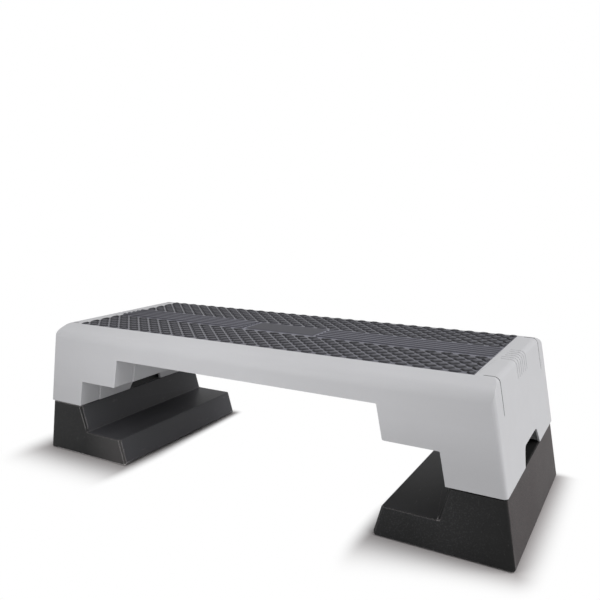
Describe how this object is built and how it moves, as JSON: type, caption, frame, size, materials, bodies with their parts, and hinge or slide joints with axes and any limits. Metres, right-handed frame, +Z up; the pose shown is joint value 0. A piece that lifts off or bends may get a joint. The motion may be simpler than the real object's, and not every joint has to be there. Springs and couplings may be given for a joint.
{
  "type": "aerobic step",
  "caption": "Low stepping platform with a rubber tread on a moulded deck that stands on removable stair-shaped risers to set its height.",
  "frame": {"origin": "on the floor, under the middle of the deck", "axes": "+X along the deck towards its right end seen from the front, +Y across the deck towards the back, +Z up"},
  "size_m": [0.894, 0.344, 0.2525],
  "materials": {
    "deck_plastic": "satin moulded light grey plastic with a fine grain",
    "tread_rubber": "dark grey rubber with raised diamond knobs and long ribs",
    "riser_plastic": "satin near-black plastic with a fine grain",
    "foot_rubber": "matte black rubber"
  },
  "bodies": {
    "deck": {"deck_shell": "deck_plastic", "tread_mat": "tread_rubber", "leg_pad_left_front": "foot_rubber", "leg_pad_left_back": "foot_rubber", "leg_pad_right_front": "foot_rubber", "leg_pad_right_back": "foot_rubber"},
    "left_riser": {"left_riser": "riser_plastic", "left_riser_foot_outer_front": "foot_rubber", "left_riser_foot_outer_back": "foot_rubber", "left_riser_foot_inner_front": "foot_rubber", "left_riser_foot_inner_back": "foot_rubber"},
    "right_riser": {"right_riser": "riser_plastic", "right_riser_foot_outer_front": "foot_rubber", "right_riser_foot_outer_back": "foot_rubber", "right_riser_foot_inner_front": "foot_rubber", "right_riser_foot_inner_back": "foot_rubber"}
  },
  "joints": [
    {"name": "left_riser_lift_off", "type": "slide", "parent": "deck", "child": "left_riser", "axis": [0, 0, -1], "range_m": [0, 0.06]},
    {"name": "right_riser_lift_off", "type": "slide", "parent": "deck", "child": "right_riser", "axis": [0, 0, -1], "range_m": [0, 0.06]}
  ]
}
